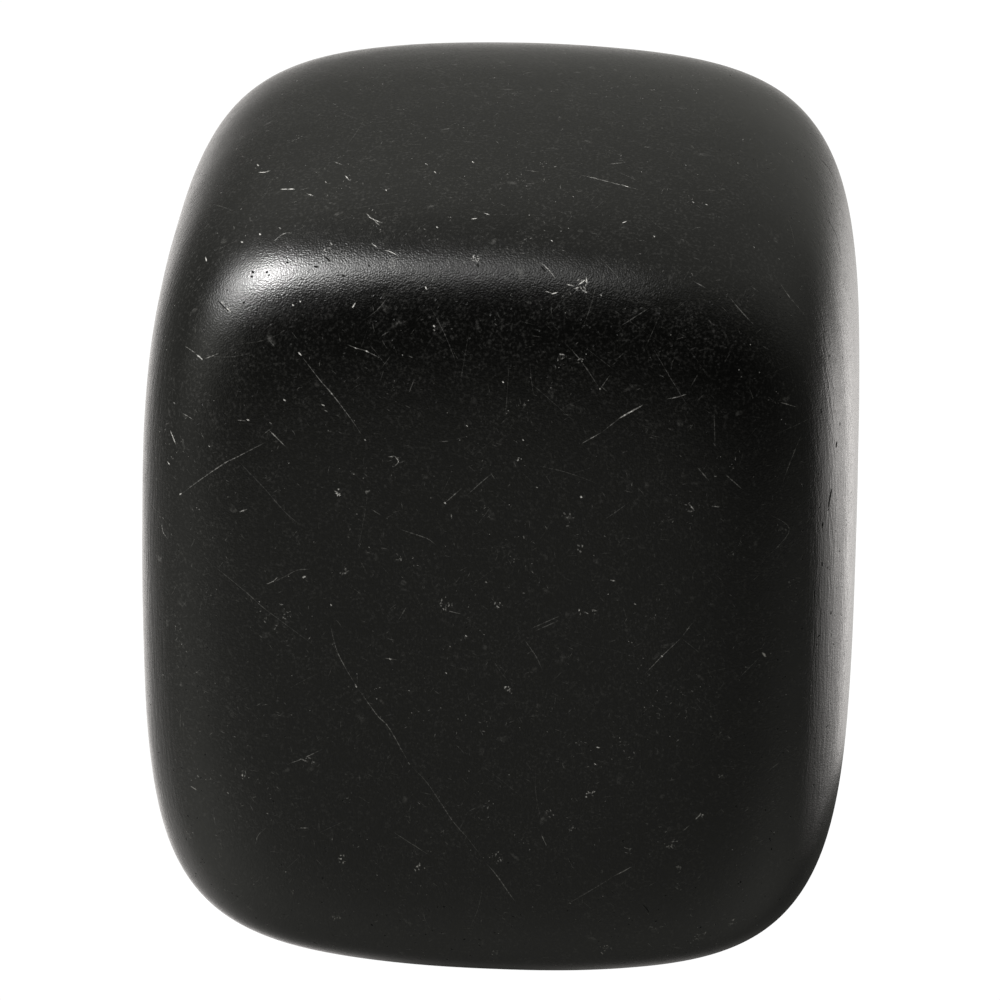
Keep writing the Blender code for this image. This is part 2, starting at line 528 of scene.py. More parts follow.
SEEN_MARKS = (
    Mark("shoulder fall", ((300, 354), (320, 380), (332, 394), (351, 419), (365, 440)), 0.2),
    Mark("shoulder fall's start", ((298, 352), (302, 356)), 1.0, 1.4),
    Mark.dot("shoulder fall's bead", (331, 393), 0.6, 1.5),
    Mark.dot("shoulder fall's end", (364, 439), 0.6, 1.5),
    Mark("left rise", ((180, 495), (200, 480), (225, 463), (237, 457), (270, 440)), 0.2),
    Mark("left rise's foot", ((179, 495), (182, 493)), 0.5, 1.5),
    Mark("left rise crossing", ((269, 430), (280, 441), (286, 447)), 0.5, 1.1),
    Mark("left middle fall", ((235, 457), (242, 465), (264, 488), (286, 513), (307, 530)), 0.07),
    Mark("lower left hook", ((161, 522), (163, 532), (168, 540)), 0.3),
    Mark(
        "lower left long fall",
        ((202, 557), (225, 575), (248, 594), (265, 609), (304, 638), (322, 651)), 0.09,
    ),
    Mark("long bowed fall, start", ((330, 623), (336, 648), (345, 667), (357, 687)), 0.16),
    Mark("long bowed fall's bead", ((355, 684), (357, 688)), 0.6, 1.5),
    Mark("long bowed fall", ((357, 687), (377, 715), (389, 728), (410, 765)), 0.2),
    Mark("long bowed fall's second bead", ((408, 762), (410, 765)), 0.45, 1.4),
    Mark("long bowed fall's tail", ((410, 765), (428, 784), (452, 820), (469, 840), (486, 863)), 0.11),
    Mark("long bowed fall's end", ((486, 863), (497, 876), (511, 896), (517, 903)), 0.26, 1.2),
    Mark("middle rise", ((445, 503), (462, 488)), 0.22),
    Mark.dot("middle rise's foot", (444, 502), 0.7, 1.7),
    Mark("middle rise's twin", ((466, 496), (484, 480), (494, 472)), 0.13),
    Mark("middle flat fall", ((399, 529), (411, 533), (428, 539), (438, 547)), 0.16),
    Mark("middle dash", ((437, 442), (450, 441)), 0.14),
    Mark("right rise, foot", ((581, 444), (602, 432)), 0.26),
    Mark("right rise", ((602, 432), (620, 418)), 0.14),
    Mark("right rise's bright middle", ((618, 419), (632, 411), (643, 405)), 0.8, 1.6),
    Mark("right rise's top", ((667, 399), (677, 397), (687, 394)), 0.34, 1.1),
    Mark("right rise's tip", ((690, 388), (698, 374)), 0.1),
    Mark("vee, long limb", ((564, 342), (581, 361), (600, 389)), 0.1),
    Mark("vee, short limb", ((600, 389), (610, 375)), 0.16),
    Mark.dot("vee's point", (599, 388), 0.4, 1.4),
    Mark("band rise", ((619, 327), (652, 306)), 0.08),
    Mark("edge dashes", ((693, 281), (706, 288)), 0.22),
    Mark("edge dashes, end", ((727, 294), (741, 311), (756, 327)), 0.12),
    Mark("corner fall", ((774, 275), (790, 297), (810, 321)), 0.1),
    Mark("corner fall's bright part", ((783, 288), (793, 302)), 0.24),
    Mark("top line", ((577, 174), (595, 178), (622, 185), (645, 191)), 0.22),
    Mark("top dash", ((590, 177), (597, 178)), 0.9, 1.3),
    Mark("top fall", ((621, 184), (629, 187)), 0.9, 1.3),
    Mark("top flat dash", ((608, 164), (627, 162)), 0.22),
    Mark("top faint dash", ((525, 170), (541, 172)), 0.16),
    Mark("top tick, middle right", ((622, 223), (627, 221)), 0.8, 1.2),
    Mark.dot("top dot, middle right", (653, 235), 0.7, 1.4),
    Mark.dot("top dot, far right", (753, 246), 0.7, 1.4),
    Mark.dot("top dot, right", (692, 201), 0.7, 1.4),
    Mark("top dot, right again", ((705, 204), (708, 205)), 0.5, 1.2),
    Mark.dot("top dot, low right", (551, 240), 0.7, 1.3),
    Mark.dot("top dot, low far right", (778, 258), 0.4, 1.3),
    Mark("top tick, middle", ((484, 213), (490, 215)), 0.6, 1.2),
    Mark("top tick, low middle", ((471, 219), (478, 218)), 0.7, 1.2),
    Mark.dot("top dot, middle", (472, 161), 0.9, 1.5),
    Mark.dot("top dot, left middle", (434, 171), 0.9, 1.5),
    Mark("top dot, above it", ((425, 163), (428, 165)), 0.6, 1.3),
    Mark.dot("top dot, left", (385, 189), 0.5, 1.3),
    Mark.dot("top dot, low left", (436, 226), 0.8, 1.4),
    Mark("top left bright dash", ((280, 189), (288, 189)), 1.0, 1.7),
    Mark("top left bright dash's head", ((288, 189), (295, 189)), 1.0, 2.2),
    Mark("top left dash", ((258, 172), (265, 172), (271, 170)), 1.0, 1.2),
    Mark.dot("top left dot", (257, 164), 0.6, 1.2),
    Mark("top left tick", ((306, 193), (314, 196)), 0.5),
    Mark.dot("top left speck", (325, 181), 0.5, 1.3),
    Mark("top left fall", ((345, 175), (350, 181)), 0.9, 1.2),
    Mark("top left faint fall", ((333, 161), (343, 165)), 0.25),
    Mark("top middle arc", ((367, 216), (375, 220), (383, 223)), 0.5, 1.1),
    Mark("top middle arc, upper", ((366, 213), (371, 218)), 0.35),
    Mark("hook", ((387, 457), (395, 457), (398, 462), (394, 467)), 0.6, 1.2),
    Mark("left tick", ((185, 346), (197, 354)), 0.22),
    Mark("left tick's bright point", ((196, 354), (203, 360)), 0.9, 1.6),
    Mark("left tick's end", ((204, 359), (212, 356), (219, 353)), 0.25),
    Mark("left rim tick", ((170, 430), (176, 445)), 0.75, 1.2),
    Mark("left rim tick, lower", ((167, 461), (170, 465)), 0.75, 1.4),
    Mark("left rim dash", ((182, 413), (194, 420)), 0.2),
    Mark.dot("left rim dot", (173, 402), 0.6, 1.5),
    Mark("left shoulder tick", ((205, 256), (207, 262)), 0.8, 1.3),
    Mark("right tick", ((697, 467), (710, 482)), 0.16),
    Mark("right tick, lower", ((725, 474), (743, 490)), 0.22),
    Mark("right dash", ((779, 402), (797, 407)), 0.26),
    Mark("right cluster's tick", ((688, 503), (694, 510)), 0.4, 1.2),
    Mark("right cluster's dash", ((710, 506), (720, 507)), 0.3),
    Mark("right upright", ((714, 409), (715, 451)), 0.07),
    Mark("right side long fall", ((803, 431), (791, 460), (782, 484)), 0.15),
    Mark("right side vee", ((768, 513), (789, 530), (766, 559)), 0.12),
    Mark("lower right rise", ((643, 676), (662, 656), (681, 638)), 0.22),
    Mark.dot("lower right rise's dot", (661, 655), 1.0, 1.7),
    Mark("lower right rise's tip", ((681, 638), (693, 622)), 0.1),
    Mark("lower right rise's branch", ((681, 638), (700, 653)), 0.08),
    Mark("lower right tail", ((739, 678), (760, 657)), 0.1),
    Mark("lower middle rise", ((528, 630), (562, 615)), 0.12),
    Mark("lower middle rise's twin", ((533, 632), (560, 620)), 0.1),
    Mark("lower middle fall", ((523, 638), (535, 655), (543, 671)), 0.12),
    Mark("lower left rise", ((286, 765), (304, 758), (323, 749)), 0.2),
    Mark("lower left dash", ((300, 828), (309, 828)), 0.45, 1.2),
    Mark("lower left curl", ((255, 848), (258, 836), (267, 827)), 0.12),
    Mark("low fall", ((390, 830), (432, 857)), 0.12),
    Mark("low rise", ((566, 905), (600, 885), (614, 876)), 0.12),
    Mark("low rise's top", ((612, 877), (622, 872), (633, 866)), 0.3, 1.2),
    Mark("low rise's foot", ((569, 903), (571, 904)), 0.4, 1.3),
    Mark("low right rise", ((683, 831), (690, 825)), 0.2),
    Mark("low right rise's tip", ((695, 820), (700, 815)), 0.4, 1.2),
    Mark("low tick", ((541, 834), (547, 847)), 0.3),
    Mark("low right dashes", ((766, 773), (781, 761)), 0.14),
    Mark("left long rise", ((265, 586), (282, 578), (298, 570), (312, 569)), 0.07),
    Mark("left arc", ((266, 584), (272, 582), (278, 577)), 0.5, 1.1),
    Mark("flat dash", ((298, 570), (311, 569)), 0.12),
    Mark("bright dot", ((302, 578), (306, 576)), 0.7, 1.9),
    Mark("dashes under the shine", ((346, 344), (356, 348), (366, 351), (382, 359)), 0.22),
    Mark("dash under the shine, first bead", ((354, 347), (357, 349)), 0.5, 1.3),
    Mark("dash under the shine, second bead", ((365, 350), (368, 352)), 0.6, 1.3),
    Mark("short fall", ((371, 509), (382, 516)), 0.12),
    Mark("steep tick", ((407, 606), (398, 621)), 0.14),
    Mark("tick under the ridge", ((414, 380), (409, 393)), 0.12),
    Mark("bright tick on the left", ((239, 512), (248, 509)), 0.5, 1.3),
    Mark("hairline under the ridge", ((390, 294), (378, 309), (364, 320)), 0.08),
    Mark("faint arc under the shine", ((228, 345), (260, 341), (287, 331)), 0.03),
    Mark("groove's bright edge", ((221, 301), (225, 306)), 0.5, 1.2),
    Mark("groove's bright end", ((226, 307), (231, 312)), 0.7, 1.4),
    Mark("ridge dash", ((371, 243), (377, 247)), 0.75, 1.3),
    Mark("ridge dash, right", ((384, 250), (391, 252), (400, 257)), 0.55),
    Mark("ridge dash, upper", ((374, 220), (380, 226)), 0.2),
    Mark("ridge double dot", ((425, 286), (427, 290)), 0.8, 1.3),
    Mark("ridge cluster's tick", ((474, 256), (477, 262)), 0.6, 1.1),
    Mark("arc over the shine", ((273, 242), (280, 236), (286, 233), (293, 233)), 0.34),
    Mark.dot("dot over the shine", (241, 241), 0.8, 1.9),
    Mark.dot("dot over the shine, right", (259, 233), 0.7, 1.7),
    Mark.dot("dot over the shine, far right", (279, 227), 0.6, 1.5),
    Mark("slanted dot", ((352, 308), (356, 302)), 1.0, 1.6),
    Mark.dot("dot in the shine's foot", (299, 300), 0.7, 1.5),
    Mark.dot("dot in the shine's foot, lower", (292, 304), 0.6, 1.4),
    Mark("short fall under the shine", ((291, 331), (298, 340)), 0.06),
    Mark("scuff under the shine", ((283, 399), (286, 401)), 0.6, 1.5),
    Mark("scuff beside the long fall", ((321, 404), (325, 406)), 0.7, 1.5),
    Mark("scuff beside the long fall, lower", ((324, 410), (328, 412)), 0.5, 1.4),
    Mark("left scuff", ((246, 419), (250, 421)), 0.7, 1.6),
    Mark("left scuff's tail", ((236, 420), (246, 421)), 0.2),
    Mark("left scuff, right", ((269, 422), (272, 424)), 0.4, 1.4),
    Mark.dot("left dot", (208, 445), 0.4, 1.5),
    Mark.dot("low dot", (330, 604), 0.6, 1.5),
    Mark.dot("lower left dot", (264, 621), 0.6, 1.5),
    Mark.dot("lower dot", (389, 658), 0.8, 1.5),
    Mark("lower dot's dash", ((384, 658), (398, 660)), 0.2),
    Mark.dot("lower dot, right", (445, 672), 0.7, 1.4),
    Mark.dot("lower dot, upper right", (465, 635), 0.6, 1.3),
    Mark("scuff dash", ((448, 611), (461, 614)), 0.4, 1.2),
    Mark.dot("centre dot", (580, 496), 1.0, 2.1),
    Mark("centre dot, right", ((610, 580), (615, 581)), 0.7, 1.5),
    Mark.dot("centre dot, upper left", (502, 381), 0.8, 1.6),
    Mark.dot("centre dot, left", (485, 581), 0.8, 1.5),
    Mark("centre dot, far left", ((451, 514), (452, 519)), 0.3, 1.3),
    Mark.dot("centre dot, high", (466, 425), 0.5, 1.3),
    Mark.dot("centre dot, higher right", (522, 439), 0.5, 1.3),
    Mark.dot("centre dot, lower right", (634, 603), 0.4, 1.4),
    Mark("centre dot, faint", ((536, 487), (538, 488)), 0.3, 1.3),
    Mark("low right dot", ((762, 652), (766, 657)), 0.9, 2.3),
    Mark.dot("band dot", (433, 325), 0.7, 1.5),
    Mark.dot("band dot, lower", (433, 329), 0.6, 1.4),
    Mark("bottom dot", ((596, 747), (600, 748)), 0.7, 1.4),
    Mark.dot("bottom dot, lower", (594, 763), 0.7, 1.3),
    Mark("bottom left dash", ((190, 786), (198, 791)), 0.3, 1.2),
    Mark.dot("bottom left dot", (227, 792), 0.4, 1.4),
    Mark("ridge fall", ((539, 261), (548, 269), (556, 279)), 0.4, 1.0),
    Mark("ridge ticks, first", ((551, 294), (558, 292)), 1.0, 1.1),
    Mark("ridge ticks, foot", ((545, 291), (552, 293)), 0.35, 1.0),
    Mark("ridge ticks, second", ((566, 284), (574, 286)), 0.7, 1.2),
    Mark("ridge ticks, third", ((578, 285), (586, 279)), 1.0, 1.1),
    Mark("ridge ticks, fourth", ((572, 289), (580, 287)), 0.6, 1.0),
    Mark("ridge ticks, fifth", ((586, 276), (587, 284)), 0.8, 1.1),
    Mark.dot("ridge dot", (600, 294), 0.9, 1.8),
    Mark.dot("shine pit, left", (252, 271), 1.0, 2.3, Wear.SUNKEN),
    Mark("shine pit, left lower", ((251, 276), (253, 277)), 1.0, 2.2, Wear.SUNKEN),
    Mark("shine pit, middle", ((266, 272), (268, 272)), 1.0, 2.5, Wear.SUNKEN),
    Mark("shine pit, middle lower", ((268, 275), (270, 275)), 0.9, 1.9, Wear.SUNKEN),
    Mark("ridge pit", ((314, 266), (318, 267)), 1.0, 2.4, Wear.SUNKEN),
    Mark("ridge pit, right", ((342, 275), (345, 276)), 1.0, 2.4, Wear.SUNKEN),
    Mark("ridge pit, far right", ((368, 265), (370, 266)), 1.0, 2.2, Wear.SUNKEN),
    Mark("ridge pit with a rim", ((286, 262), (289, 263)), 0.9, 2.0, Wear.SUNKEN),
    Mark("shine's foot pit", ((243, 302), (245, 303)), 1.0, 2.2, Wear.SUNKEN),
    Mark("shine's foot pit, left", ((227, 310), (229, 311)), 1.0, 2.1, Wear.SUNKEN),
    Mark("groove beside the shine", ((217, 300), (229, 312)), 0.5, 1.3, Wear.SUNKEN),
    Mark("ridge groove", ((325, 256), (331, 262)), 0.5, 2.0, Wear.SUNKEN),
    Mark("ridge cluster's pit", ((477, 264), (479, 267)), 1.0, 2.8, Wear.SUNKEN),
    Mark("ridge fall's pit", ((541, 266), (547, 272)), 0.8, 2.0, Wear.SUNKEN),
    Mark("right rim hairline", ((819, 157), (828, 167), (834, 178), (838, 187)), 0.5, 1.6, Wear.SUNKEN),
    Mark(
        "right rim hairline, lower",
        ((824, 215), (832, 226), (838, 242), (841, 258)), 0.4, 1.5, Wear.SUNKEN,
    ),
    Mark("right slot, top", ((821, 408), (821, 414)), 0.9, 2.6, Wear.SUNKEN),
    Mark("right slot, small", ((840, 422), (840, 426)), 1.0, 2.8, Wear.SUNKEN),
    Mark("right slot, second", ((837, 441), (836, 448)), 1.0, 3.1, Wear.SUNKEN),
    Mark("right slot, long", ((832, 488), (830, 498), (828, 509)), 1.0, 3.4, Wear.SUNKEN),
    Mark("right slot, third", ((823, 522), (822, 528)), 1.0, 3.2, Wear.SUNKEN),
    Mark("right slot, fourth", ((822, 562), (822, 567)), 0.9, 2.6, Wear.SUNKEN),
    Mark("right slot, faint", ((815, 588), (814, 600)), 0.4, 2.2, Wear.SUNKEN),
    Mark("right slot, low", ((831, 611), (831, 615)), 0.9, 2.6, Wear.SUNKEN),
    Mark("low dark hairline", ((642, 904), (646, 908), (650, 914)), 0.5, 1.5, Wear.SUNKEN),
    Mark.dot("bottom left pit", (371, 924), 0.8, 2.0, Wear.SUNKEN),
    Mark.dot("left dark pit", (208, 715), 0.8, 2.0, Wear.SUNKEN),
    Mark("low dark dot", ((740, 881), (741, 883)), 0.7, 2.0, Wear.SUNKEN),
)

SEEN_KNOTS = (
    Knot("strongest scuff", (337, 494), 6, 16, 0.75),
    Knot("middle scuff", (367, 492), 3, 4, 0.35),
    Knot("middle scuff, lower", (400, 558), 5, 8, 0.3),
    Knot("loose curls", (284, 617), 17, 22, 0.22),
    Knot("left curls", (345, 572), 7, 9, 0.25),
    Knot("scuff pair", (446, 607), 9, 14, 0.45),
    Knot("scuff pair, right", (497, 606), 7, 12, 0.4),
    Knot("low centre scuff", (508, 690), 5, 12, 0.7),
    Knot("low centre scuff, upper", (518, 459), 4, 6, 0.4),
    Knot("centre scuff, right", (581, 611), 6, 9, 0.45),
    Knot("centre scuff, far right", (596, 611), 5, 7, 0.4),
    Knot("centre scuff", (580, 549), 4, 7, 0.4),
    Knot("centre cluster", (568, 517), 9, 9, 0.25),
    Knot("upper right scuff", (561, 357), 6, 9, 0.35),
    Knot("upper right scuff, right", (580, 360), 5, 5, 0.25),
    Knot("right cluster", (692, 508), 8, 8, 0.25),
    Knot("right cluster, far", (781, 529), 6, 7, 0.25),
    Knot("lower left scuff", (307, 759), 7, 12, 0.35),
    Knot("lower left scuff, left", (244, 775), 5, 8, 0.3),
    Knot("low scuff", (342, 859), 5, 14, 0.55),
    Knot("low scuff, right", (417, 867), 4, 14, 0.55),
    Knot("low scuff, middle", (500, 859), 8, 10, 0.28),
    Knot("low scuff, far right", (589, 794), 5, 16, 0.7),
    Knot("low scuff, beside it", (547, 813), 6, 7, 0.3),
    Knot("low right scuff", (672, 844), 7, 12, 0.4),
    Knot("low right scuff, lower", (679, 869), 4, 6, 0.35),
    Knot("low right arc", (721, 777), 5, 6, 0.35),
    Knot("low right scuff, bottom", (678, 888), 5, 6, 0.3),
    Knot("low right scuff, tip", (701, 815), 3, 5, 0.5),
    Knot("low right scuff, left", (628, 851), 6, 7, 0.25),
    Knot("low scuff, upper right", (573, 829), 4, 6, 0.35),
    Knot("bottom scuffs", (606, 948), 7, 8, 0.3),
    Knot("bottom scuffs, left", (495, 952), 6, 6, 0.25),
    Knot("bottom scuffs, far left", (336, 917), 8, 7, 0.25),
    Knot("bottom right scuffs", (701, 937), 8, 9, 0.35),
    Knot("bottom right scuffs, upper", (733, 923), 8, 9, 0.35),
    Knot("bottom right scuffs, left", (655, 930), 9, 7, 0.22),
    Knot("ridge cluster", (582, 283), 9, 12, 0.5),
    Knot("ridge cluster, left", (475, 259), 6, 8, 0.5),
    Knot("ridge cluster, far left", (329, 250), 8, 7, 0.35),
    Knot("ridge cluster, middle", (392, 262), 8, 8, 0.35),
)


@dataclass
class MarkTrail:
    """Marks as rows of close points on the stone's surface.

    Attributes:
        places: the points, in metres from the stone's centre.
        headings: the way that the mark runs at each point.
        owners: the number of the mark that each point belongs to.
        runs: how far along its mark each point is, from -1 at one end to 1 at the other.
        half_lengths: half the length of each point's mark.
        half_widths: half the width of each point's mark.
        tones: how strongly it shows, below zero where it is sunken.
    """

    places: np.ndarray
    headings: np.ndarray
    owners: np.ndarray
    runs: np.ndarray
    half_lengths: np.ndarray
    half_widths: np.ndarray
    tones: np.ndarray

    def followed_by(self, other: "MarkTrail") -> "MarkTrail":
        """These marks and the other's, whose numbers go on from here."""
        other = replace(other, owners=other.owners + self.owners.max() + 1)
        pairs = zip(vars(self).values(), vars(other).values())
        return MarkTrail(*(np.concatenate(pair) for pair in pairs))


@dataclass(frozen=True)
class ScatterOfMarks:
    """A kind of mark that tumbling leaves all over the stone. Sizes are in millimetres.

    Attributes:
        count: how many there are.
        lengths: the shortest and the longest, with those between spread evenly by ratio.
        widths: the narrowest and the widest.
        tone: how strongly the strongest one shows, from 0 to 1.
        fading: a higher power leaves fewer strong ones.
        bend: how far a mark turns over a millimetre, in radians, at the most usual.
        faintest: the faintest one's tone, as a share of the strongest one's.
        wear: whether they are powdered pale or sunken.
        edge_share: how strongly they gather on the worn edges, from 0 for evenly.
        knots: how many knots they are gathered in, or 0 where each lies by itself.
        knot_size: how far from its middle the marks of a middling knot lie.
    """

    count: int
    lengths: Span
    widths: Span
    tone: float
    fading: float = 2.0
    bend: float = 0.0
    faintest: float = 0.03
    wear: Wear = Wear.POWDERED
    edge_share: float = 0.0
    knots: int = 0
    knot_size: float = 0.3

    # How many places a mark or a knot has to choose from, and how much an edge stands out
    # among them.
    CHOICES = 6
    EDGE_POWER = 3
    # The smallest knot and how much larger the largest one is, as shares of the knot size.
    SMALLEST_KNOT = 0.4
    KNOT_RANGE = 1.2

    def starts(self, form: StoneForm, chance: np.random.Generator) -> np.ndarray:
        """Picks where the marks start.

        Each mark, or each knot of marks, has a few random places to choose from. With an
        edge share, one is likelier to be chosen the nearer the two longest parts of its
        direction are to each other in length, as they are on an edge between two sides.

        Args:
            form: the stone.
            chance: where the places come from.

        Returns:
            One place on the surface for each mark.
        """
        picks = self.knots or self.count
        choices = unit(chance.normal(size=(picks, self.CHOICES, 3)))
        parts = np.sort(np.abs(choices), axis=-1)
        edginess = (parts[..., 1] / parts[..., 2]) ** self.EDGE_POWER
        whim = chance.random((picks, self.CHOICES))
        liking = (1 - self.edge_share) * whim + self.edge_share * edginess
        middles = form.on_surface(choices[np.arange(picks), liking.argmax(axis=1)])
        if not self.knots:
            return middles
        knot = chance.integers(0, self.knots, self.count)
        shares = self.SMALLEST_KNOT + self.KNOT_RANGE * chance.random(self.knots)
        sizes = self.knot_size * MM * shares
        strays = chance.normal(size=(self.count, 3)) * sizes[knot][:, None]
        return form.on_surface(middles[knot] + strays)

    def walk(self, form: StoneForm, chance: np.random.Generator, step: float = 0.09 * MM) -> MarkTrail:
        """Walks every mark over the surface from a random place and heading.

        Each step adds the heading times the step, brings the point back to the surface,
        turns the heading by the bend and lays it in the surface again. A mark's own steps
        are all as long as each other and end at its tip.

        Args:
            form: the stone.
            chance: where places, headings and sizes come from.
            step: the most that one step is long, in metres.

        Returns:
            The marks' points, those of one step after those of the one before.
        """
        n = self.count
        places = self.starts(form, chance)
        headings = chance.normal(size=(n, 3))
        shortest, longest = (length * MM for length in self.lengths)
        narrowest, widest = (width * MM for width in self.widths)
        lengths = shortest * (longest / shortest) ** chance.random(n)
        widths = narrowest + (widest - narrowest) * chance.random(n)
        faded = self.faintest + (1 - self.faintest) * chance.random(n) ** self.fading
        tones = self.wear.value * self.tone * faded
        counts = np.ceil(lengths / step).astype(int)
        steps = lengths / counts
        bends = self.bend / MM * chance.normal(size=n) * steps
        walked = []
        for count in range(counts.max() + 1):
            outward = form.outward(places)
            headings = unit(headings - (headings * outward).sum(axis=1, keepdims=True) * outward)
            headings = unit(headings + bends[:, None] * np.cross(outward, headings))
            live = np.flatnonzero(count <= counts)
            walked.append((places[live], headings[live], live, 2 * count / counts[live] - 1))
            places = form.on_surface(places + headings * steps[:, None])
        places, headings, owners, runs = (np.concatenate(column) for column in zip(*walked))
        sizes = (lengths[owners] / 2, widths[owners] / 2, tones[owners])
        return MarkTrail(places, headings, owners, runs, *sizes)


def rounded_path(path: tuple[Pixel, ...], spacing: float) -> np.ndarray:
    """Even points on a smooth curve through the corners of a path.

    Between two corners p1 and p2, with p0 before and p3 after them, the curve is the
    Catmull-Rom cubic (2 p1 + (p2 - p0) t + (2 p0 - 5 p1 + 4 p2 - p3) t^2
    + (3 p1 - p0 - 3 p2 + p3) t^3) / 2.

    Args:
        path: the corners.
        spacing: the distance between points.

    Returns:
        The points, one in each row, with a corner at both ends.
    """
    corners = np.array(path, float)
    ends = (2 * corners[0] - corners[1], 2 * corners[-1] - corners[-2])
    knots = np.vstack([ends[0], corners, ends[1]])
    curve = []
    for p0, p1, p2, p3 in zip(knots, knots[1:], knots[2:], knots[3:]):
        count = max(2, int(math.ceil(np.linalg.norm(p2 - p1) / spacing)))
        t = np.arange(count)[:, None] / count
        cubic = 2 * p1 + (p2 - p0) * t + (2 * p0 - 5 * p1 + 4 * p2 - p3) * t ** 2
        curve.append((cubic + (3 * p1 - p0 - 3 * p2 + p3) * t ** 3) / 2)
    return np.vstack([*curve, corners[-1:]])


@dataclass
class SeenMarks:
    """The marks of the photograph, laid on the stone where the camera sees them.

    Attributes:
        marks: the single marks.
        knots: the knots of crumbs.
        camera: where they are seen from.
        form: the stone.
        shift: from the stone's centre to the frame's origin, in metres.
        spacing: pixels between a path's points.
    """

    marks: tuple[Mark, ...]
    knots: tuple[Knot, ...]
    camera: PhotoCamera
    form: StoneForm
    shift: np.ndarray
    spacing: float = 2.0

    def lay(self, chance: np.random.Generator) -> MarkTrail:
        """Casts every path onto the stone.

        Args:
            chance: where the knots' crumbs come from.

        Returns:
            The marks' points, mark by mark.
        """
        marks = [*self.marks, *(crumb for knot in self.knots for crumb in knot.marks(chance))]
        paths = [rounded_path(mark.path, self.spacing) for mark in marks]
        origin = np.array(self.camera.place) + self.shift
        pixel = self.camera.distance / self.camera.focal
        columns: list[tuple[np.ndarray, ...]] = []
        cast = self.form.hit(origin, self.camera.rays(np.concatenate(paths)))
        cuts = np.cumsum([len(path) for path in paths])[:-1]
        for number, (mark, places) in enumerate(zip(marks, np.split(cast, cuts))):
            headings = unit(np.gradient(places, axis=0))
            lengths = np.linalg.norm(np.diff(places, axis=0), axis=1)
            along = np.concatenate([[0.0], lengths.cumsum()])
            # A short mark is drawn no shorter than it is wide.
            half = max(along[-1], mark.width * pixel) / 2
            size = len(places)
            columns.append((
                places, headings, np.full(size, number), (along - along[-1] / 2) / half,
                np.full(size, half), np.full(size, mark.width * pixel / 2),
                np.full(size, mark.wear.value * mark.tone),
            ))
        return MarkTrail(*(np.concatenate(column) for column in zip(*columns)))


@dataclass
class MarkedFacets:
    """Tells every facet of the grid which marks cross it, and where.

    A facet's corner holds three numbers for each mark: how far it is across the mark, in
    half widths, how far along it, in half lengths, and the mark's tone. They change evenly
    over a facet, so the place where they are both near zero is the mark, however narrow.

    Attributes:
        grid: the facets.
        layers: the most marks that one facet can carry.
    """

    grid: SkinGrid
    layers: int = 4

    # What a corner holds where there is no mark: one too far off to show, and without tone.
    NOTHING = (9.0, 9.0, 0.0)
    # What puts the photograph's marks before all others in rank: it is more than any tone.
    SEEN_RANK = 2.0

    def carry(self, trail: MarkTrail, corners: np.ndarray, seen: int) -> np.ndarray:
        """Works out the three numbers at every corner.

        Args:
            trail: the marks' points.
            corners: places of the four corners of every facet, from the stone's centre.
            seen: how many of the marks, from the first, are never left out.

        Returns:
            An array of layers, facets, corners and the three numbers.
        """
        sideways = unit(np.cross(unit(trail.places), trail.headings))
        number = np.arange(len(trail.owners))
        rim = sideways * trail.half_widths[:, None]
        spread = np.concatenate([trail.places - rim, trail.places, trail.places + rim])
        point = np.concatenate([number] * 3)
        facet = self.grid.cell_under(spread)
        middles = corners.mean(axis=1)
        away = np.linalg.norm(trail.places[point] - middles[facet], axis=1)
        owner = trail.owners[point]

        # One row for each mark on each facet: the mark's point that is nearest its middle.
        order = np.lexsort((away, owner, facet))
        facet, owner, point = facet[order], owner[order], point[order]
        first = np.ones(len(facet), bool)
        first[1:] = (facet[1:] != facet[:-1]) | (owner[1:] != owner[:-1])
        facet, owner, point = facet[first], owner[first], point[first]

        # Marks of the photograph come first, then the strongest.
        rank = self.SEEN_RANK * (owner < seen) + np.abs(trail.tones[point])
        order = np.lexsort((-rank, facet))
        facet, point = facet[order], point[order]
        starts = np.flatnonzero(np.concatenate([[True], facet[1:] != facet[:-1]]))
        counts = np.diff(np.append(starts, len(facet)))
        layer = np.arange(len(facet)) - np.repeat(starts, counts)
        kept = layer < self.layers
        facet, point, layer = facet[kept], point[kept], layer[kept]

        offset = corners[facet] - trail.places[point][:, None, :]
        across = (offset * sideways[point][:, None, :]).sum(axis=-1)
        across /= trail.half_widths[point][:, None]
        along = (offset * trail.headings[point][:, None, :]).sum(axis=-1)
        along /= trail.half_lengths[point][:, None]
        along += trail.runs[point][:, None]
        tone = np.repeat(trail.tones[point][:, None], 4, axis=1)
        carried = np.empty((self.layers, len(corners), 4, 3), np.float32)
        carried[:] = self.NOTHING
        carried[layer, facet] = np.stack([across, along, tone], -1)
        return carried


@dataclass(frozen=True)
class Noise:
    """Soft unevenness of the rock or its skin.

    Attributes:
        scale: how many bumps there are to a millimetre.
        detail: how many finer sets of bumps lie on the first.
        roughness: how strong each finer set is, as a share of the one before.
    """

    scale: float
    detail: float = 0.0
    roughness: float = 0.5


